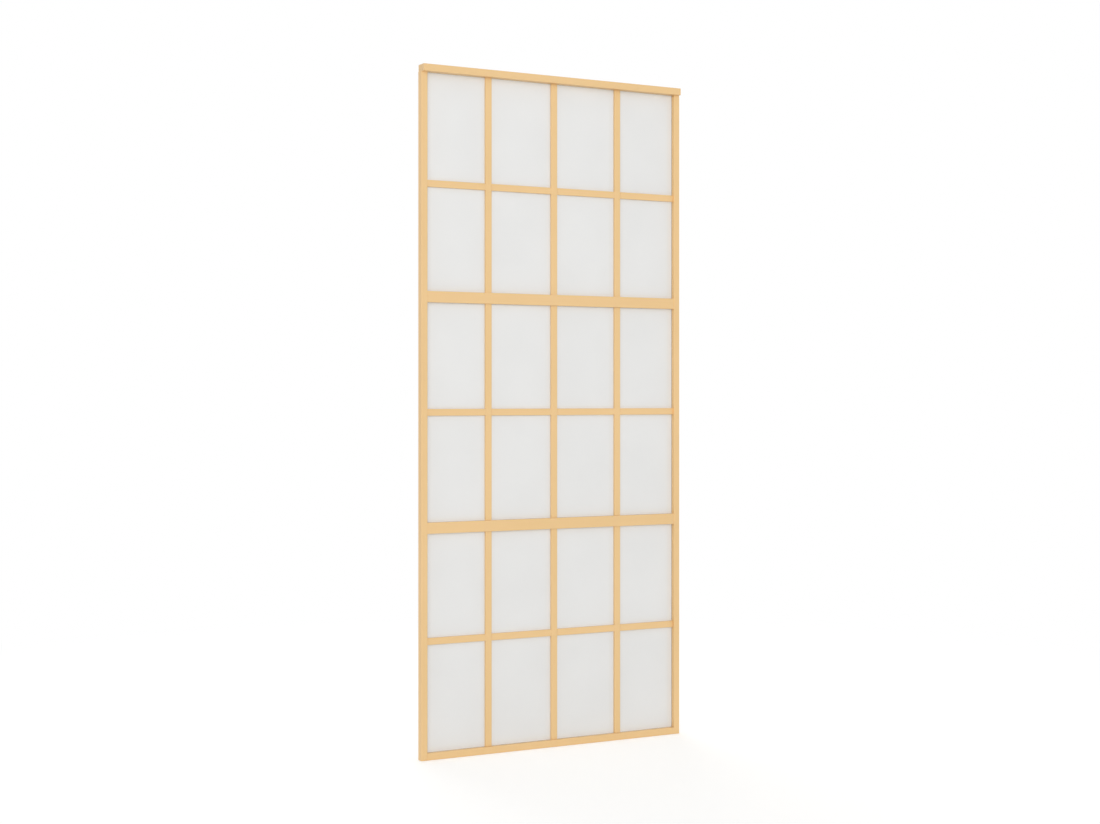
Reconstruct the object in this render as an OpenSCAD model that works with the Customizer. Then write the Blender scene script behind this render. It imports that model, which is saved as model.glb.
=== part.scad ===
// Sliding glass door leaf, top hung: slim aluminium frame, three sheets of frosted glass, bars on both faces.
// Front faces -Y, +X runs along the width, +Z is up; origin under the middle of the box; millimetres.

/* [Output] */
// Sub-part to draw, or all of them

/* [Leaf] */
// Width over the two stiles
leaf_w = 900; // [700:10:1200]
// Height from the foot to the top of the head rail
leaf_h = 2050; // [1900:10:2400]
// Depth of stiles and bottom rail, front to back
leaf_d = 22; // [20:0.5:28]

/* [Frame profiles] */
// Face width of a stile
stile_face = 20; // [19:0.5:26]
// Height of the bottom rail
bottom_rail_h = 21; // [20:0.5:30]
// Height of each of the two cross rails
cross_rail_h = 33; // [30:0.5:50]
// Setback of the cross rails' front from the stiles' front
cross_setback = 1.5; // [0.5:0.25:2]
// Step to which the heights of the cross rails are rounded
rail_step = 0.5; // [0.5:0.5:1]
// Height of the head rail
head_h = 21; // [20:0.5:30]
// Depth of the head rail, front to back
head_d = 37; // [34:0.5:44]
// Setback of the head rail's ends from the stiles' outer sides
head_inset = 2.5; // [1:0.25:4]
// Thickness of every extruded wall
wall = 1.5; // [1.2:0.1:1.8]
// Bevel along the outer edges of the profiles
edge_bevel = 0.6; // [0.3:0.1:1]

/* [Glazing] */
// Thickness of the tempered frosted glass
glass_t = 5; // [4:0.5:6]
// Setback of the glass from the stiles' front
glass_setback = 14.5; // [13:0.25:15]
// Depth to which the glass edge enters a groove
glass_bite = 8; // [6:0.25:8.5]
// Thickness of a gasket leg beside the glass
gasket_side = 1; // [0.6:0.1:1.3]
// Thickness of the gasket under the glass edge
gasket_edge = 1.5; // [1:0.1:2]
// Play of the gasket in its groove
gasket_play = 0.05; // [0.02:0.01:0.1]

/* [Bars] */
// Panes side by side in each sheet
columns = 4; // [2:1:6]
// Face width of every bar
bar_w = 20; // [14:0.5:26]
// Depth from the front of the front bars to the glass
bar_front_d = 7.5; // [5:0.25:9]
// Wall of the flat tube that makes a front bar
bar_wall = 1.5; // [1:0.1:2]
// Bevel along the front edges of a bar
bar_bevel = 0.5; // [0.2:0.1:1]
// Gap at each end of a bar
bar_gap = 0.2; // [0.1:0.05:0.5]
// Distance of the upper and lower cross bars from the middle one
outer_bar_gap = 676; // [600:1:760]
// Thickness of the tape that holds a bar on the glass
tape_t = 0.5; // [0.3:0.1:0.8]
// Width of that tape
tape_w = 12; // [8:0.5:13]
// Distance of the tape's ends from the ends of its bar
tape_end = 4; // [2:0.5:8]

/* [Floor guide] */
// Width of the groove under the bottom rail
guide_w = 9; // [8:0.25:9.5]
// Depth of that groove
guide_h = 9; // [6:0.25:9]

/* [Hanger slot] */
// Width inside the slot of the head rail
slot_w = 20; // [18:0.25:21]
// Height inside the slot
slot_h = 6.5; // [6:0.1:7]
// Width of the slot's mouth
slot_mouth = 11; // [10:0.25:14]
// Thickness of the two lips over the slot
slot_lip = 2; // [1.5:0.1:2.4]
// Distance of the slot's middle in front of the glass's middle
slot_offset = 3.5; // [2.5:0.1:4.5]

/* [Hanger plates] */
// Length of a hanger plate
plate_l = 64; // [50:1:90]
// Thickness of a hanger plate
plate_t = 5; // [4:0.25:5.2]
// Gap beside a plate in its slot
plate_gap = 0.3; // [0.1:0.05:0.5]
// Distance of each plate's middle from the leaf's outer side
hanger_inset = 120; // [80:5:200]
// Wall radius of the plate's thread for an 8 mm hanger bolt
hanger_r = 3.4; // [3:0.05:4]
// Radius of a clamp screw
clamp_r = 2.5; // [2:0.1:3]
// Distance of a clamp screw from the plate's middle
clamp_x = 22; // [15:0.5:26]

/* [Frame screws] */
// Radius of the core of a frame screw
screw_r = 2.05; // [1.6:0.05:2.4]
// Play between a screw and its threaded port
screw_play = 0.05; // [0.02:0.01:0.1]
// Length of a frame screw under its head
screw_l = 25; // [18:0.5:40]
// Radius of a screw's head
screw_head_r = 4.25; // [3.5:0.05:4.4]
// Height of a screw's head
screw_head_h = 2.8; // [2:0.1:3.2]
// Radius of the drive recess in a screw's head
screw_drive_r = 1.6; // [1:0.1:2]
// Depth of that recess
screw_drive_h = 1.6; // [1:0.1:1.8]
// Play of a screw's core in the wall that it passes
screw_clear = 0.5; // [0.2:0.05:0.8]
// Outer radius of a screw port in a rail
port_r = 4.2; // [3.6:0.05:4.4]
// Lap of a port into the wall beside it
port_lap = 0.2; // [0.1:0.05:0.4]
// Depth of the ports behind the stiles' front
port_y = 7.25; // [7:0.05:7.5]
// Radius of the cover caps over the screws
cap_r = 4.6; // [4.5:0.05:5]

/* [Head fixing] */
// Height of the threaded block in the top of each stile
block_h = 32; // [20:1:50]
// Gap between a head screw's head and the slot's front wall
head_screw_gap = 0.25; // [0.1:0.05:0.6]
// Length of a head screw under its head
head_screw_l = 36; // [28:1:44]

/* [End caps] */
// Thickness of the head rail's end caps
end_t = 2; // [1.5:0.1:3]
// Length of an end cap's tongue in the head rail
end_tongue = 6; // [4:0.5:12]
// Gap around that tongue
end_gap = 0.2; // [0.1:0.05:0.4]

/* [Foot plugs] */
// Thickness of the plate under each stile
foot_t = 2; // [1.5:0.1:3]
// Height of a foot plug's tongue in the stile
foot_tongue = 7; // [5:0.5:8]
// Gap around that tongue
foot_gap = 0.15; // [0.05:0.05:0.4]

/* [Hidden] */
$fn = 48;
over = 1;
head_rear = glass_setback + glass_t / 2 - slot_offset + slot_w / 2 + wall;
front_y = head_d / 2 - head_rear;
back_y = front_y + leaf_d;
glass_y = front_y + glass_setback;
glass_back_y = glass_y + glass_t;
groove_y = glass_setback - gasket_side;
groove_w = glass_t + 2 * gasket_side;
groove_d = glass_bite + gasket_edge;
box_d = groove_y - wall;
stile_h = leaf_h - head_h;
clear_w = leaf_w - 2 * stile_face;
rail_z = [for (k = [1, 2]) round(leaf_h * k / 3 / rail_step) * rail_step - cross_rail_h / 2];
pane_z0 = [bottom_rail_h, rail_z[0] + cross_rail_h, rail_z[1] + cross_rail_h];
pane_z1 = [rail_z[0], rail_z[1], stile_h];
bar_z = [leaf_h / 2 - outer_bar_gap, leaf_h / 2, leaf_h / 2 + outer_bar_gap];
bar_x = [for (k = [1 : columns - 1]) leaf_w * (k / columns - 1 / 2)];
bar_stops = concat([-clear_w / 2 - bar_w / 2], bar_x, [clear_w / 2 + bar_w / 2]);
front_bar_d = bar_front_d - tape_t;
back_bar_d = back_y - glass_back_y - tape_t;
front_bar_y = glass_y - bar_front_d;
back_bar_y = glass_back_y + tape_t;
guide_y = (leaf_d - guide_w) / 2;
port_bore = screw_r + screw_play;
bottom_port_z = guide_h + wall + port_r - port_lap;
cross_port_in = wall + port_r - port_lap;
screw_z = concat(
    [bottom_port_z],
    [for (z = rail_z) z + cross_port_in],
    [for (z = rail_z) z + cross_rail_h - cross_port_in]);
head_l = leaf_w - 2 * head_inset - 2 * end_t;
slot_y1 = head_d / 2 - wall;
slot_y0 = slot_y1 - slot_w;
slot_mid = (slot_y0 + slot_y1) / 2;
slot_z1 = head_h - slot_lip;
slot_z0 = slot_z1 - slot_h;
plate_z = stile_h + slot_z1 - plate_t;
plate_w = slot_w - 2 * plate_gap;
head_screw_x = leaf_w / 2 - stile_face / 2;
head_screw_y = slot_y0 + screw_head_r + head_screw_gap;
plate_x = leaf_w / 2 - hanger_inset;

gold = "#EEC791";
frosted = "#E4E4E2";
black_rubber = "#2F2E2D";
white_tape = "#F0EFEC";
steel = "#B9BCBF";

// Rectangle from the origin with its four corners cut off by the edge bevel
module bevel_rect(w, d) {
    c = edge_bevel;
    polygon([[c, 0], [w - c, 0], [w, c], [w, d - c], [w - c, d], [c, d], [0, d - c], [0, c]]);
}

// Runs a section along +X: its own x goes to Y and its own y to Z
module along_x(length) {
    rotate([90, 0, 90]) linear_extrude(length) children();
}

// Round bar along +X
module pin_x(r, length) {
    rotate([0, 90, 0]) cylinder(r = r, h = length);
}

// Stile seen from above: hollow box in front, glass groove towards the middle of the leaf, thin lip behind
module stile_section() {
    difference() {
        bevel_rect(stile_face, leaf_d);
        translate([stile_face - groove_d, groove_y]) square([groove_d + over, groove_w]);
        translate([wall, wall]) square([stile_face - 2 * wall, box_d - wall]);
        translate([wall, wall]) square([stile_face - groove_d - 2 * wall, leaf_d - 2 * wall]);
    }
}

// Left stile with an access hole and a screw hole at each rail port
module stile() {
    translate([-leaf_w / 2, front_y, 0]) difference() {
        translate([0, 0, foot_t]) linear_extrude(stile_h - foot_t) stile_section();
        for (z = screw_z) {
            translate([-over, port_y, z]) pin_x(cap_r, wall + over + over);
            translate([stile_face - wall - over, port_y, z]) pin_x(screw_r + screw_clear, wall + 2 * over);
        }
    }
}

// Round port with its screw bore, drawn inside a rail's section
module port_ring(z) {
    translate([port_y, z]) circle(r = port_r);
}
module port_hole(z) {
    translate([port_y, z]) circle(r = port_bore);
}

// Bottom rail from the side: glass groove on top, guide groove underneath, one screw port
module bottom_section() {
    difference() {
        union() {
            difference() {
                bevel_rect(leaf_d, bottom_rail_h);
                translate([groove_y, bottom_rail_h - groove_d]) square([groove_w, groove_d + over]);
                translate([guide_y, -over]) square([guide_w, guide_h + over]);
                translate([wall, wall]) square([guide_y - 2 * wall, bottom_rail_h - 2 * wall]);
                translate([wall, guide_h + wall]) square([box_d - wall, bottom_rail_h - guide_h - 2 * wall]);
            }
            port_ring(bottom_port_z);
        }
        port_hole(bottom_port_z);
    }
}

// Cross rail from the side: glass grooves above and below, hollow middle, two screw ports
module cross_section() {
    difference() {
        union() {
            difference() {
                translate([cross_setback, 0]) bevel_rect(leaf_d - cross_setback, cross_rail_h);
                translate([groove_y, -over]) square([groove_w, groove_d + over]);
                translate([groove_y, cross_rail_h - groove_d]) square([groove_w, groove_d + over]);
                translate([cross_setback + wall, wall])
                    square([box_d - cross_setback - wall, cross_rail_h - 2 * wall]);
                translate([cross_setback + wall, groove_d + wall])
                    square([leaf_d - cross_setback - 2 * wall, cross_rail_h - 2 * groove_d - 2 * wall]);
            }
            port_ring(cross_port_in);
            port_ring(cross_rail_h - cross_port_in);
        }
        port_hole(cross_port_in);
        port_hole(cross_rail_h - cross_port_in);
    }
}

// Head rail from the side: glass groove underneath, hanger slot on top over the leaf's weight, hollow front
module head_section() {
    difference() {
        translate([-head_d / 2, 0]) bevel_rect(head_d, head_h);
        translate([glass_y - gasket_side, -over]) square([groove_w, groove_d + over]);
        translate([slot_y0, slot_z0]) square([slot_w, slot_h]);
        translate([slot_mid - slot_mouth / 2, slot_z1 - over]) square([slot_mouth, slot_lip + 2 * over]);
        translate([wall - head_d / 2, wall]) square([slot_y0 + head_d / 2 - 2 * wall, head_h - 2 * wall]);
        translate([wall - head_d / 2, wall])
            square([glass_y - gasket_side + head_d / 2 - 2 * wall, slot_z0 - 2 * wall]);
    }
}

// One sheet of glass, by panel from the bottom
module sheet(k) {
    translate([-clear_w / 2 - glass_bite, glass_y, pane_z0[k] - glass_bite])
        cube([clear_w + 2 * glass_bite, glass_t, pane_z1[k] - pane_z0[k] + 2 * glass_bite]);
}

// Channel gasket around one sheet, filling the grooves of the four profiles
module gasket(k) {
    rim = glass_bite + gasket_edge - gasket_play;
    side = gasket_side - gasket_play;
    difference() {
        translate([-clear_w / 2 - rim, glass_y - side, pane_z0[k] - rim])
            cube([clear_w + 2 * rim, glass_t + 2 * side, pane_z1[k] - pane_z0[k] + 2 * rim]);
        translate([-clear_w / 2, glass_y - gasket_side - over, pane_z0[k]])
            cube([clear_w, groove_w + 2 * over, pane_z1[k] - pane_z0[k]]);
        sheet(k);
    }
}

// Front bar in section: a flat tube with bevelled front edges, x across the bar and y through its depth
module tube_section() {
    w = bar_w / 2;
    d = front_bar_d;
    c = bar_bevel;
    difference() {
        polygon([[c - w, 0], [w - c, 0], [w, c], [w, d], [-w, d], [-w, c]]);
        translate([bar_wall - w, bar_wall]) square([bar_w - 2 * bar_wall, d - 2 * bar_wall]);
    }
}

// Back bar in section: a flat strip flush with the back of the frame
module strip_section() {
    w = bar_w / 2;
    d = back_bar_d;
    c = bar_bevel;
    polygon([[-w, 0], [w, 0], [w, d - c], [w - c, d], [c - w, d], [-w, d - c]]);
}

// Upright bar of panel k at column c, through the whole panel, from a section
module upright(y, k, c) {
    translate([bar_x[c], y, pane_z0[k] + bar_gap])
        linear_extrude(pane_z1[k] - pane_z0[k] - 2 * bar_gap) children();
}

// The short cross bars of panel k, one between each two uprights, from the same section
module crossings(y, k) {
    for (i = [0 : columns - 1])
        translate([bar_stops[i] + bar_w / 2 + bar_gap, y, bar_z[k]])
            along_x(bar_stops[i + 1] - bar_stops[i] - bar_w - 2 * bar_gap) mirror([1, -1, 0]) children();
}

// The tape of panel k: one strip under each upright and each cross bar
module tapes(y, k) {
    end = bar_gap + tape_end;
    for (x = bar_x)
        translate([x - tape_w / 2, y, pane_z0[k] + end])
            cube([tape_w, tape_t, pane_z1[k] - pane_z0[k] - 2 * end]);
    for (i = [0 : columns - 1])
        translate([bar_stops[i] + bar_w / 2 + end, y, bar_z[k] - tape_w / 2])
            cube([bar_stops[i + 1] - bar_stops[i] - bar_w - 2 * end, tape_t, tape_w]);
}

module front_upright(k, c) {
    color(gold) upright(front_bar_y, k, c) tube_section();
}
module back_upright(k, c) {
    color(gold) upright(back_bar_y, k, c) strip_section();
}
module front_crossings(k) {
    color(gold) crossings(front_bar_y, k) tube_section();
}
module back_crossings(k) {
    color(gold) crossings(back_bar_y, k) strip_section();
}
module front_tapes(k) {
    color(white_tape) tapes(glass_y - tape_t, k);
}
module back_tapes(k) {
    color(white_tape) tapes(glass_back_y, k);
}

// Screw with a round head and a hexagon socket, head seat at the origin, shank along +Z
module screw(length) {
    difference() {
        union() {
            translate([0, 0, -screw_head_h]) cylinder(r = screw_head_r, h = screw_head_h);
            cylinder(r = screw_r, h = length);
        }
        translate([0, 0, -screw_head_h - over]) cylinder(r = screw_drive_r, h = screw_drive_h + over, $fn = 6);
    }
}

// Threaded block that fills the top of the left stile's hollow
module head_block() {
    difference() {
        translate([wall - leaf_w / 2, front_y + wall, stile_h - block_h]) {
            cube([stile_face - 2 * wall, box_d - wall, block_h]);
            cube([stile_face - groove_d - 2 * wall, leaf_d - 2 * wall, block_h]);
        }
        translate([-head_screw_x, head_screw_y, stile_h - block_h - over])
            cylinder(r = port_bore, h = block_h + 2 * over);
    }
}

// Left foot plug: a plate that closes the stile's end and a tongue in its hollow front
module foot_plug() {
    translate([-leaf_w / 2, front_y, 0]) {
        linear_extrude(foot_t) bevel_rect(stile_face, leaf_d);
        translate([wall + foot_gap, wall + foot_gap, foot_t])
            cube([stile_face - 2 * wall - 2 * foot_gap, box_d - wall - 2 * foot_gap, foot_tongue]);
    }
}

// Left end cap: a plate with the head rail's outline and a tongue in its hollow front
module end_cap() {
    translate([-head_l / 2 - end_t, 0, stile_h]) {
        along_x(end_t) translate([-head_d / 2, 0]) bevel_rect(head_d, head_h);
        translate([end_t, wall + end_gap - head_d / 2, wall + end_gap])
            cube([
                end_tongue,
                slot_y0 + head_d / 2 - 2 * wall - 2 * end_gap,
                head_h - 2 * wall - 2 * end_gap]);
    }
}

// Hanger plate under the slot's lips, with the hanger thread in its middle and two clamp threads
module hanger_plate(x) {
    translate([x, slot_mid, plate_z]) difference() {
        translate([-plate_l / 2, -plate_w / 2, 0]) cube([plate_l, plate_w, plate_t]);
        translate([0, 0, -over]) cylinder(r = hanger_r, h = plate_t + 2 * over);
        for (s = [-1, 1])
            translate([s * clamp_x, 0, -over]) cylinder(r = clamp_r, h = plate_t + 2 * over);
    }
}

// The two clamp screws of a plate, with hexagon sockets, their tips on the slot's floor
module clamp_screws(x) {
    for (s = [-1, 1])
        translate([x + s * clamp_x, slot_mid, stile_h + slot_z0]) difference() {
            cylinder(r = clamp_r, h = slot_h);
            translate([0, 0, slot_h - clamp_r]) cylinder(r = clamp_r / 2, h = clamp_r + over, $fn = 6);
        }
}

module left_stile() color(gold) stile();
module right_stile() color(gold) mirror([1, 0, 0]) stile();
module head_rail() {
    color(gold) translate([-head_l / 2, 0, stile_h]) difference() {
        along_x(head_l) head_section();
        for (x = [-head_screw_x, head_screw_x])
            translate([head_l / 2 + x, head_screw_y, -over])
                cylinder(r = screw_r + screw_clear, h = slot_z0 + over + over);
    }
}
module bottom_rail() color(gold) translate([-clear_w / 2, front_y, 0]) along_x(clear_w) bottom_section();
module lower_cross_rail()
    color(gold) translate([-clear_w / 2, front_y, rail_z[0]]) along_x(clear_w) cross_section();
module upper_cross_rail()
    color(gold) translate([-clear_w / 2, front_y, rail_z[1]]) along_x(clear_w) cross_section();
module bottom_glass() color(frosted) sheet(0);
module middle_glass() color(frosted) sheet(1);
module top_glass() color(frosted) sheet(2);
module bottom_gasket() color(black_rubber) gasket(0);
module middle_gasket() color(black_rubber) gasket(1);
module top_gasket() color(black_rubber) gasket(2);
module front_bottom_left_bar() front_upright(0, 0);
module front_bottom_middle_bar() front_upright(0, 1);
module front_bottom_right_bar() front_upright(0, 2);
module front_middle_left_bar() front_upright(1, 0);
module front_middle_middle_bar() front_upright(1, 1);
module front_middle_right_bar() front_upright(1, 2);
module front_top_left_bar() front_upright(2, 0);
module front_top_middle_bar() front_upright(2, 1);
module front_top_right_bar() front_upright(2, 2);
module front_bottom_cross_bars() front_crossings(0);
module front_middle_cross_bars() front_crossings(1);
module front_top_cross_bars() front_crossings(2);
module back_bottom_left_bar() back_upright(0, 0);
module back_bottom_middle_bar() back_upright(0, 1);
module back_bottom_right_bar() back_upright(0, 2);
module back_middle_left_bar() back_upright(1, 0);
module back_middle_middle_bar() back_upright(1, 1);
module back_middle_right_bar() back_upright(1, 2);
module back_top_left_bar() back_upright(2, 0);
module back_top_middle_bar() back_upright(2, 1);
module back_top_right_bar() back_upright(2, 2);
module back_bottom_cross_bars() back_crossings(0);
module back_middle_cross_bars() back_crossings(1);
module back_top_cross_bars() back_crossings(2);
module front_bottom_tapes() front_tapes(0);
module front_middle_tapes() front_tapes(1);
module front_top_tapes() front_tapes(2);
module back_bottom_tapes() back_tapes(0);
module back_middle_tapes() back_tapes(1);
module back_top_tapes() back_tapes(2);
module left_head_block() color(steel) head_block();
module right_head_block() color(steel) mirror([1, 0, 0]) head_block();
module left_foot_plug() color(gold) foot_plug();
module right_foot_plug() color(gold) mirror([1, 0, 0]) foot_plug();
module left_end_cap() color(gold) end_cap();
module right_end_cap() color(gold) mirror([1, 0, 0]) end_cap();
module left_hanger_plate() color(steel) hanger_plate(-plate_x);
module right_hanger_plate() color(steel) hanger_plate(plate_x);
module left_clamp_screws() color(steel) clamp_screws(-plate_x);
module right_clamp_screws() color(steel) clamp_screws(plate_x);

// Screws that pass each stile's inner wall into the ports of the rails
module frame_screws() {
    color(steel) for (s = [0, 1], z = screw_z)
        mirror([s, 0, 0]) translate([stile_face - wall - leaf_w / 2, front_y + port_y, z])
            rotate([0, 90, 0]) screw(screw_l);
}

// Discs that close the access holes in the stiles' outer walls
module screw_covers() {
    color(gold) for (s = [0, 1], z = screw_z)
        mirror([s, 0, 0]) translate([-leaf_w / 2, front_y + port_y, z]) pin_x(cap_r, wall);
}

// Screws from the slot's floor down into the blocks in the stiles
module head_screws() {
    color(steel) for (x = [-head_screw_x, head_screw_x])
        translate([x, head_screw_y, stile_h + slot_z0]) rotate([180, 0, 0]) screw(head_screw_l);
}

left_stile();
right_stile();
head_rail();
bottom_rail();
lower_cross_rail();
upper_cross_rail();
bottom_glass();
middle_glass();
top_glass();
bottom_gasket();
middle_gasket();
top_gasket();
front_bottom_left_bar();
front_bottom_middle_bar();
front_bottom_right_bar();
front_middle_left_bar();
front_middle_middle_bar();
front_middle_right_bar();
front_top_left_bar();
front_top_middle_bar();
front_top_right_bar();
front_bottom_cross_bars();
front_middle_cross_bars();
front_top_cross_bars();
back_bottom_left_bar();
back_bottom_middle_bar();
back_bottom_right_bar();
back_middle_left_bar();
back_middle_middle_bar();
back_middle_right_bar();
back_top_left_bar();
back_top_middle_bar();
back_top_right_bar();
back_bottom_cross_bars();
back_middle_cross_bars();
back_top_cross_bars();
front_bottom_tapes();
front_middle_tapes();
front_top_tapes();
back_bottom_tapes();
back_middle_tapes();
back_top_tapes();
left_foot_plug();
right_foot_plug();
left_head_block();
right_head_block();
left_end_cap();
right_end_cap();
left_hanger_plate();
right_hanger_plate();
left_clamp_screws();
right_clamp_screws();
frame_screws();
screw_covers();
head_screws();
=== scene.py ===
# Sliding glass door leaf: slim gold aluminium frame, three sheets of frosted glass, bars on both faces.
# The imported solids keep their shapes; this script gives them their finishes, the light and the camera.
import math

import bpy
import numpy as np
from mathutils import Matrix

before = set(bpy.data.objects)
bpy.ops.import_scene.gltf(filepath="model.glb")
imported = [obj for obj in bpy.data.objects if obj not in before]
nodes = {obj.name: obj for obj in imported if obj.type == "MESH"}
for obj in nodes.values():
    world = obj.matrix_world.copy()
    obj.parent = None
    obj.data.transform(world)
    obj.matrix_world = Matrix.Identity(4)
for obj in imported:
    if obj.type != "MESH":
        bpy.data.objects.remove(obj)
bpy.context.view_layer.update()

# Stiles: the two uprights, extruded aluminium tubes with a glazing groove down the inner side.
# They are etched matt and anodised gold after extrusion, so the faint lines of the die run upwards
# and the colour drifts a little along the length. Long screws through them hold the rails.
MM = 0.001
GOLD = "#EAC691"
GOLD_DEEP = "#E7C38D"
GOLD_METALLIC = 0.45
GOLD_ROUGHNESS = (0.40, 0.50)
DIE_LINE = 2.4 * MM
DIE_RUN = 260 * MM
DIE_DEPTH = 0.02 * MM
DIE_STRENGTH = 0.35
TONE_DRIFT = 420 * MM
# Nearly all values of a noise lie in its band, and most of them in its core.
NOISE_BAND = (0.3, 0.7)
NOISE_CORE = (0.35, 0.65)


def linear(code):
    """sRGB hex to linear RGBA: below 0.04045 a share of 1 over 12.92, above it a power of 2.4."""
    share = np.array([int(code[i:i + 2], 16) for i in (1, 3, 5)]) / 255
    low = share / 12.92
    high = ((share + 0.055) / 1.055) ** 2.4
    return (*np.where(share <= 0.04045, low, high).tolist(), 1.0)


def add(tree, kind, links=(), stops=(), **settings):
    """Adds one node. Settings name its properties or, with a capital, its input sockets; links are pairs of
    an input socket and the output that feeds it; stops are the places and hex colours of a ramp."""
    made = tree.nodes.new(kind)
    for key, value in settings.items():
        if key[0].isupper():
            made.inputs[key.replace("_", " ")].default_value = value
        else:
            setattr(made, key, value)
    for index, (place, code) in enumerate(stops):
        made.color_ramp.elements[index].position = place
        made.color_ramp.elements[index].color = linear(code)
    for socket, output in links:
        tree.links.new(output, made.inputs[socket])
    return made


def start(name):
    """A new material with its node tree emptied but for the output."""
    made = bpy.data.materials.new(name)
    made.use_nodes = True
    made.node_tree.nodes.clear()
    return made, made.node_tree, add(made.node_tree, "ShaderNodeOutputMaterial")


def satin_gold_aluminium(name, run):
    """Etched and anodised aluminium: a soft metal sheen with no sharp highlight, faint die lines along
    the run of the profile. Real die lines stand about 0.3 mm apart; they are drawn 2.4 mm apart to show."""
    made, tree, output = start(name)
    place = add(tree, "ShaderNodeTexCoord").outputs["Object"]
    pitch = [1 / DIE_RUN if axis == run else 1 / DIE_LINE for axis in "XYZ"]
    lengthwise = add(tree, "ShaderNodeMapping", [("Vector", place)], Scale=pitch).outputs["Vector"]
    lines = add(tree, "ShaderNodeTexNoise", [("Vector", lengthwise)],
                Scale=1.0, Detail=2.0, Roughness=0.5).outputs["Fac"]
    drift = add(tree, "ShaderNodeTexNoise", [("Vector", place)],
                Scale=1 / TONE_DRIFT, Detail=1.0).outputs["Fac"]
    colour = add(tree, "ShaderNodeValToRGB", [("Fac", drift)],
                 zip(NOISE_CORE, (GOLD_DEEP, GOLD))).outputs["Color"]
    sheen = add(tree, "ShaderNodeMapRange", [("Value", lines)],
                From_Min=NOISE_BAND[0], From_Max=NOISE_BAND[1],
                To_Min=GOLD_ROUGHNESS[0], To_Max=GOLD_ROUGHNESS[1]).outputs["Result"]
    relief = add(tree, "ShaderNodeBump", [("Height", lines)],
                 Strength=DIE_STRENGTH, Distance=DIE_DEPTH).outputs["Normal"]
    metal = add(tree, "ShaderNodeBsdfPrincipled",
                [("Base Color", colour), ("Roughness", sheen), ("Normal", relief)], Metallic=GOLD_METALLIC)
    tree.links.new(metal.outputs["BSDF"], output.inputs["Surface"])
    return made


def finish_nodes(material, *names):
    """Puts one material on every slot of the named CAD nodes."""
    for name in names:
        mesh = nodes[name].data
        mesh.materials.clear()
        mesh.materials.append(material)


upright_gold = satin_gold_aluminium("satin_gold_aluminium_upright", "Z")
finish_nodes(upright_gold, "left_stile", "right_stile")

# Rails: head, bottom and two cross rails, extruded from the same alloy and cut square between the stiles.
# Their die lines run from side to side. The head rail is deeper and carries the hanger slot in its top.
crosswise_gold = satin_gold_aluminium("satin_gold_aluminium_crosswise", "X")
finish_nodes(crosswise_gold, "head_rail", "bottom_rail", "lower_cross_rail", "upper_cross_rail")

# Bars: flat tubes in front and thin strips behind, taped on the glass so that each sheet looks like panes.
# They have the same gold finish; the uprights run through and the cross bars butt against them.
SHEETS = ("bottom", "middle", "top")
FACES = ("front", "back")
for face in FACES:
    for sheet in SHEETS:
        finish_nodes(upright_gold, *(f"{face}_{sheet}_{side}_bar" for side in ("left", "middle", "right")))
        finish_nodes(crosswise_gold, f"{face}_{sheet}_cross_bars")

# Tapes: the strip of double-sided acrylic foam between each bar and the glass, cut narrower than the bar.
# The foam is white and soft, with the small open cells that show along its cut edges.
TAPE_WHITE = "#F1F0ED"
TAPE_CELL_SHADE = "#E2E0DB"
TAPE_ROUGHNESS = 0.7
TAPE_IOR = 1.49
FOAM_CELL = 0.8 * MM
FOAM_EDGE = (0.1, 0.6)
FOAM_DEPTH = 0.05 * MM
FOAM_STRENGTH = 0.3

taped, taped_tree, taped_output = start("white_acrylic_foam_tape")
taped_place = add(taped_tree, "ShaderNodeTexCoord").outputs["Object"]
# Real cells are about 0.1 mm across; they are drawn 0.8 mm across to show.
cells = add(taped_tree, "ShaderNodeTexVoronoi", [("Vector", taped_place)],
            Scale=1 / FOAM_CELL).outputs["Distance"]
# Painted shade: the colour darkens towards the middle of each cell, where the bump sinks the cell's hollow.
taped_colour = add(taped_tree, "ShaderNodeValToRGB", [("Fac", cells)],
                   zip(FOAM_EDGE, (TAPE_CELL_SHADE, TAPE_WHITE))).outputs["Color"]
taped_relief = add(taped_tree, "ShaderNodeBump", [("Height", cells)],
                   Strength=FOAM_STRENGTH, Distance=FOAM_DEPTH).outputs["Normal"]
taped_shader = add(taped_tree, "ShaderNodeBsdfPrincipled",
                   [("Base Color", taped_colour), ("Normal", taped_relief)],
                   Roughness=TAPE_ROUGHNESS, IOR=TAPE_IOR)
taped_tree.links.new(taped_shader.outputs["BSDF"], taped_output.inputs["Surface"])
finish_nodes(taped, *(f"{face}_{sheet}_tapes" for face in FACES for sheet in SHEETS))

# Glass: three sheets of 5 mm tempered float glass, etched with acid on one face.
# The etch scatters nearly all the light, so a sheet looks pale grey-white and hides what lies behind.
FROST = "#EDEDEC"
FROST_THIN = "#EBEBEA"
FROST_ROUGHNESS = (0.52, 0.66)
FROST_CLEAR = 0.1
GLASS_IOR = 1.52
ETCH_GRAIN = 1.6 * MM
ETCH_CLOUD = 180 * MM
ETCH_DEPTH = 0.03 * MM
ETCH_STRENGTH = 0.3

frosted, frosted_tree, frosted_output = start("acid_etched_tempered_glass")
etch_place = add(frosted_tree, "ShaderNodeTexCoord").outputs["Object"]
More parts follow.
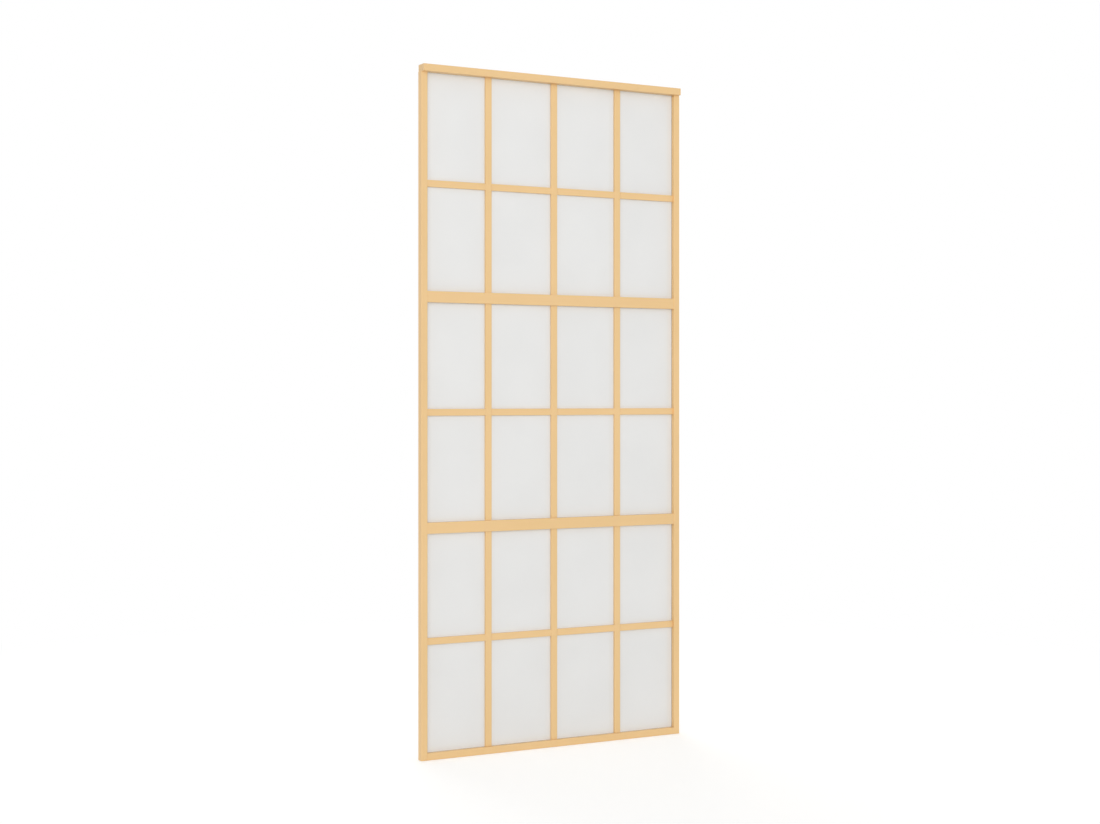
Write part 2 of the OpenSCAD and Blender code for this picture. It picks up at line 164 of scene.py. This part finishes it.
# Real etch pits are about 0.05 mm across; they are drawn 1.6 mm across to show.
etch_grain = add(frosted_tree, "ShaderNodeTexNoise", [("Vector", etch_place)],
                 Scale=1 / ETCH_GRAIN, Detail=3.0, Roughness=0.6).outputs["Fac"]
etch_cloud = add(frosted_tree, "ShaderNodeTexNoise", [("Vector", etch_place)],
                 Scale=1 / ETCH_CLOUD, Detail=1.0).outputs["Fac"]
frost_colour = add(frosted_tree, "ShaderNodeValToRGB", [("Fac", etch_cloud)],
                   zip(NOISE_CORE, (FROST_THIN, FROST))).outputs["Color"]
frost_sheen = add(frosted_tree, "ShaderNodeMapRange", [("Value", etch_grain)],
                  From_Min=NOISE_BAND[0], From_Max=NOISE_BAND[1],
                  To_Min=FROST_ROUGHNESS[0], To_Max=FROST_ROUGHNESS[1]).outputs["Result"]
frost_relief = add(frosted_tree, "ShaderNodeBump", [("Height", etch_grain)],
                   Strength=ETCH_STRENGTH, Distance=ETCH_DEPTH).outputs["Normal"]
frost_shader = add(frosted_tree, "ShaderNodeBsdfPrincipled",
                   [("Base Color", frost_colour), ("Roughness", frost_sheen), ("Normal", frost_relief)],
                   IOR=GLASS_IOR, Transmission_Weight=FROST_CLEAR)
frosted_tree.links.new(frost_shader.outputs["BSDF"], frosted_output.inputs["Surface"])
finish_nodes(frosted, *(f"{sheet}_glass" for sheet in SHEETS))

# Gaskets: one soft rubber channel round each sheet, pushed into the grooves of stiles and rails.
# Extruded rubber is dull, slightly mottled with talc, and flexes round the corners of the glass.
RUBBER = "#2B2A29"
RUBBER_TALC = "#3A3938"
RUBBER_ROUGHNESS = 0.75
RUBBER_IOR = 1.52
TALC_SPOT = 3 * MM
TALC_EDGE = (0.4, 0.7)
TALC_DEPTH = 0.05 * MM
TALC_STRENGTH = 0.25

rubber, rubber_tree, rubber_output = start("black_extruded_rubber")
rubber_place = add(rubber_tree, "ShaderNodeTexCoord").outputs["Object"]
talc = add(rubber_tree, "ShaderNodeTexNoise", [("Vector", rubber_place)],
           Scale=1 / TALC_SPOT, Detail=4.0, Roughness=0.6).outputs["Fac"]
rubber_colour = add(rubber_tree, "ShaderNodeValToRGB", [("Fac", talc)],
                    zip(TALC_EDGE, (RUBBER, RUBBER_TALC))).outputs["Color"]
rubber_relief = add(rubber_tree, "ShaderNodeBump", [("Height", talc)],
                    Strength=TALC_STRENGTH, Distance=TALC_DEPTH).outputs["Normal"]
rubber_shader = add(rubber_tree, "ShaderNodeBsdfPrincipled",
                    [("Base Color", rubber_colour), ("Normal", rubber_relief)],
                    Roughness=RUBBER_ROUGHNESS, IOR=RUBBER_IOR)
rubber_tree.links.new(rubber_shader.outputs["BSDF"], rubber_output.inputs["Surface"])
finish_nodes(rubber, *(f"{sheet}_gasket" for sheet in SHEETS))

# Plugs and covers: end caps of the head rail, foot plugs of the stiles and the covers over the screws.
# They are moulded ABS, coloured to match the gold, with the fine sparked texture of the mould.
ABS_GOLD = "#E9C38B"
ABS_PIT_SHADE = "#E6C088"
ABS_ROUGHNESS = 0.42
ABS_IOR = 1.53
SPARK_GRAIN = 0.7 * MM
SPARK_DEPTH = 0.03 * MM
SPARK_STRENGTH = 0.3

moulded, moulded_tree, moulded_output = start("gold_moulded_abs")
moulded_place = add(moulded_tree, "ShaderNodeTexCoord").outputs["Object"]
# Real sparked texture is about 0.1 mm; it is drawn 0.7 mm across to show.
spark = add(moulded_tree, "ShaderNodeTexNoise", [("Vector", moulded_place)],
            Scale=1 / SPARK_GRAIN, Detail=2.0).outputs["Fac"]
# Painted shade: the colour goes a little darker in the pits of the sparked texture, where the bump sinks
# it.
moulded_colour = add(moulded_tree, "ShaderNodeValToRGB", [("Fac", spark)],
                     zip(NOISE_CORE, (ABS_PIT_SHADE, ABS_GOLD))).outputs["Color"]
moulded_relief = add(moulded_tree, "ShaderNodeBump", [("Height", spark)],
                     Strength=SPARK_STRENGTH, Distance=SPARK_DEPTH).outputs["Normal"]
moulded_shader = add(moulded_tree, "ShaderNodeBsdfPrincipled",
                     [("Base Color", moulded_colour), ("Normal", moulded_relief)],
                     Roughness=ABS_ROUGHNESS, IOR=ABS_IOR)
moulded_tree.links.new(moulded_shader.outputs["BSDF"], moulded_output.inputs["Surface"])
finish_nodes(moulded, "left_end_cap", "right_end_cap", "left_foot_plug", "right_foot_plug", "screw_covers")

# Steel fixings: hanger plates and their clamp screws in the head slot, head blocks, frame and head screws.
# They are mild steel, zinc plated and passivated: blue-grey with small crystals that catch the light.
ZINC = "#B9BDC1"
ZINC_DULL = "#A4A9AE"
ZINC_ROUGHNESS = (0.28, 0.42)
ZINC_CRYSTAL = 2.5 * MM
CRYSTAL_TONES = (0.1, 0.9)

plated, plated_tree, plated_output = start("zinc_plated_steel")
plated_place = add(plated_tree, "ShaderNodeTexCoord").outputs["Object"]
# Real plated crystals are well under 0.1 mm; they are drawn 2.5 mm across to show.
crystal = add(plated_tree, "ShaderNodeTexVoronoi", [("Vector", plated_place)],
              Scale=1 / ZINC_CRYSTAL).outputs["Color"]
grain = add(plated_tree, "ShaderNodeSeparateColor", [("Color", crystal)]).outputs["Red"]
plated_colour = add(plated_tree, "ShaderNodeValToRGB", [("Fac", grain)],
                    zip(CRYSTAL_TONES, (ZINC_DULL, ZINC))).outputs["Color"]
plated_sheen = add(plated_tree, "ShaderNodeMapRange", [("Value", grain)],
                   To_Min=ZINC_ROUGHNESS[0], To_Max=ZINC_ROUGHNESS[1]).outputs["Result"]
plated_shader = add(plated_tree, "ShaderNodeBsdfPrincipled",
                    [("Base Color", plated_colour), ("Roughness", plated_sheen)], Metallic=1.0)
plated_tree.links.new(plated_shader.outputs["BSDF"], plated_output.inputs["Surface"])
finish_nodes(plated, "left_hanger_plate", "right_hanger_plate", "left_clamp_screws", "right_clamp_screws",
             "left_head_block", "right_head_block", "frame_screws", "head_screws")

# Studio: a wide pale floor that runs out into plain white a few metres from the door.
# It takes the leaf's soft shadow, and a glow of its own, for sight only, keeps it white elsewhere.
FLOOR_PALE = "#F2F2F1"
FLOOR_HALF = 40.0
FLOOR_POINTS = 9
FLOOR_DROP = 0.5 * MM
FLOOR_GLOW = 0.28
FLOOR_NEAR = 1.2
FLOOR_FAR = 3.2
PLAIN_WHITE = 1.0

across = np.linspace(-FLOOR_HALF, FLOOR_HALF, FLOOR_POINTS)
floor_x, floor_y = np.meshgrid(across, across)
floor_points = np.stack([floor_x, floor_y, np.full_like(floor_x, -FLOOR_DROP)], axis=-1).reshape(-1, 3)
corner = np.arange(FLOOR_POINTS ** 2).reshape(FLOOR_POINTS, FLOOR_POINTS)
round_each = [corner[:-1, :-1], corner[:-1, 1:], corner[1:, 1:], corner[1:, :-1]]
floor_quads = np.stack(round_each, axis=-1).reshape(-1, 4)
floor_mesh = bpy.data.meshes.new("studio_floor")
floor_mesh.from_pydata(floor_points.tolist(), [], floor_quads.tolist())
floor = bpy.data.objects.new("studio_floor", floor_mesh)
bpy.context.scene.collection.objects.link(floor)


def by_eye(tree):
    """A mark of 1 on rays of straight sight, mirrored sight and sight through glass, and 0 on the others:
    the greatest of the three marks that the light path gives."""
    path = add(tree, "ShaderNodeLightPath").outputs
    direct = add(tree, "ShaderNodeMath", [(0, path["Is Camera Ray"]), (1, path["Is Glossy Ray"])],
                 operation="MAXIMUM").outputs[0]
    return add(tree, "ShaderNodeMath", [(0, direct), (1, path["Is Transmission Ray"])],
               operation="MAXIMUM").outputs[0]


sweep, sweep_tree, sweep_output = start("matt_white_paper")
paper = add(sweep_tree, "ShaderNodeBsdfDiffuse", Color=linear(FLOOR_PALE)).outputs[0]
glow = add(sweep_tree, "ShaderNodeEmission", Strength=FLOOR_GLOW).outputs[0]
lit = add(sweep_tree, "ShaderNodeAddShader", [(0, paper), (1, glow)]).outputs[0]
floor_place = add(sweep_tree, "ShaderNodeTexCoord").outputs["Object"]
reach = add(sweep_tree, "ShaderNodeVectorMath", [(0, floor_place)], operation="LENGTH").outputs["Value"]
fade = add(sweep_tree, "ShaderNodeMapRange", [("Value", reach)],
           interpolation_type="SMOOTHSTEP", From_Min=FLOOR_NEAR, From_Max=FLOOR_FAR).outputs["Result"]
plain = add(sweep_tree, "ShaderNodeEmission", Strength=PLAIN_WHITE).outputs[0]
far_off = add(sweep_tree, "ShaderNodeMixShader", [("Fac", fade), (1, lit), (2, plain)]).outputs[0]
swept = add(sweep_tree, "ShaderNodeMixShader", [("Fac", by_eye(sweep_tree)), (1, paper), (2, far_off)])
sweep_tree.links.new(swept.outputs[0], sweep_output.inputs["Surface"])
floor_mesh.materials.append(sweep)

# Light: an even white room, with one large softbox far off at the front left, so that the glass stays flat,
# a weak one at the right and one behind. Straight sight, mirrored sight and sight through glass meet
# plain white. Each softbox has its place and the length of its side in metres, and its power in watts.
ROOM_LIGHT = 0.66
SOFTBOXES = (
    ("key_softbox", (-6.0, -10.0, 3.0), 6.0, 520.0),
    ("fill_softbox", (4.2, -2.6, 3.2), 4.0, 10.0),
    ("back_softbox", (1.5, 6.5, 3.4), 5.0, 150.0),
)
AIM = (0.0, 0.0, 1.0)

room = bpy.data.worlds.new("white_room")
bpy.context.scene.world = room
room.use_nodes = True
room.node_tree.nodes.clear()
room_strength = add(room.node_tree, "ShaderNodeMapRange", [("Value", by_eye(room.node_tree))],
                    To_Min=ROOM_LIGHT, To_Max=PLAIN_WHITE).outputs["Result"]
room_colour = add(room.node_tree, "ShaderNodeBackground", [("Strength", room_strength)],
                  Color=(1.0, 1.0, 1.0, 1.0)).outputs["Background"]
add(room.node_tree, "ShaderNodeOutputWorld", [("Surface", room_colour)])

for name, spot, side, watts in SOFTBOXES:
    lamp = bpy.data.lights.new(name, "AREA")
    lamp.shape = "SQUARE"
    lamp.size = side
    lamp.energy = watts
    holder = bpy.data.objects.new(name, lamp)
    holder.location = spot
    away = np.array(spot) - np.array(AIM)
    flat = math.hypot(away[0], away[1])
    holder.rotation_euler = (math.atan2(flat, away[2]), 0.0, math.atan2(away[1], away[0]) + math.pi / 2)
    bpy.context.scene.collection.objects.link(holder)

# Camera: level, a little above half the leaf's height, turned to see the front and the left side.
# Place, turn and lens were solved from the corners of the frame in the photograph.
CAMERA_PLACE = (-2.62275, -4.76128, 1.07215)
CAMERA_TURN = -28.705
CAMERA_LENS = 58.074
CAMERA_SENSOR = 36.0
CAMERA_SHIFT = -0.01415

camera = bpy.data.cameras.new("camera")
camera.sensor_fit = "HORIZONTAL"
camera.sensor_width = CAMERA_SENSOR
camera.lens = CAMERA_LENS
camera.shift_y = CAMERA_SHIFT
camera_holder = bpy.data.objects.new("camera", camera)
camera_holder.location = CAMERA_PLACE
camera_holder.rotation_euler = (math.pi / 2, 0.0, math.radians(CAMERA_TURN))
bpy.context.scene.collection.objects.link(camera_holder)
bpy.context.scene.camera = camera_holder
bpy.context.scene.view_settings.view_transform = "Standard"
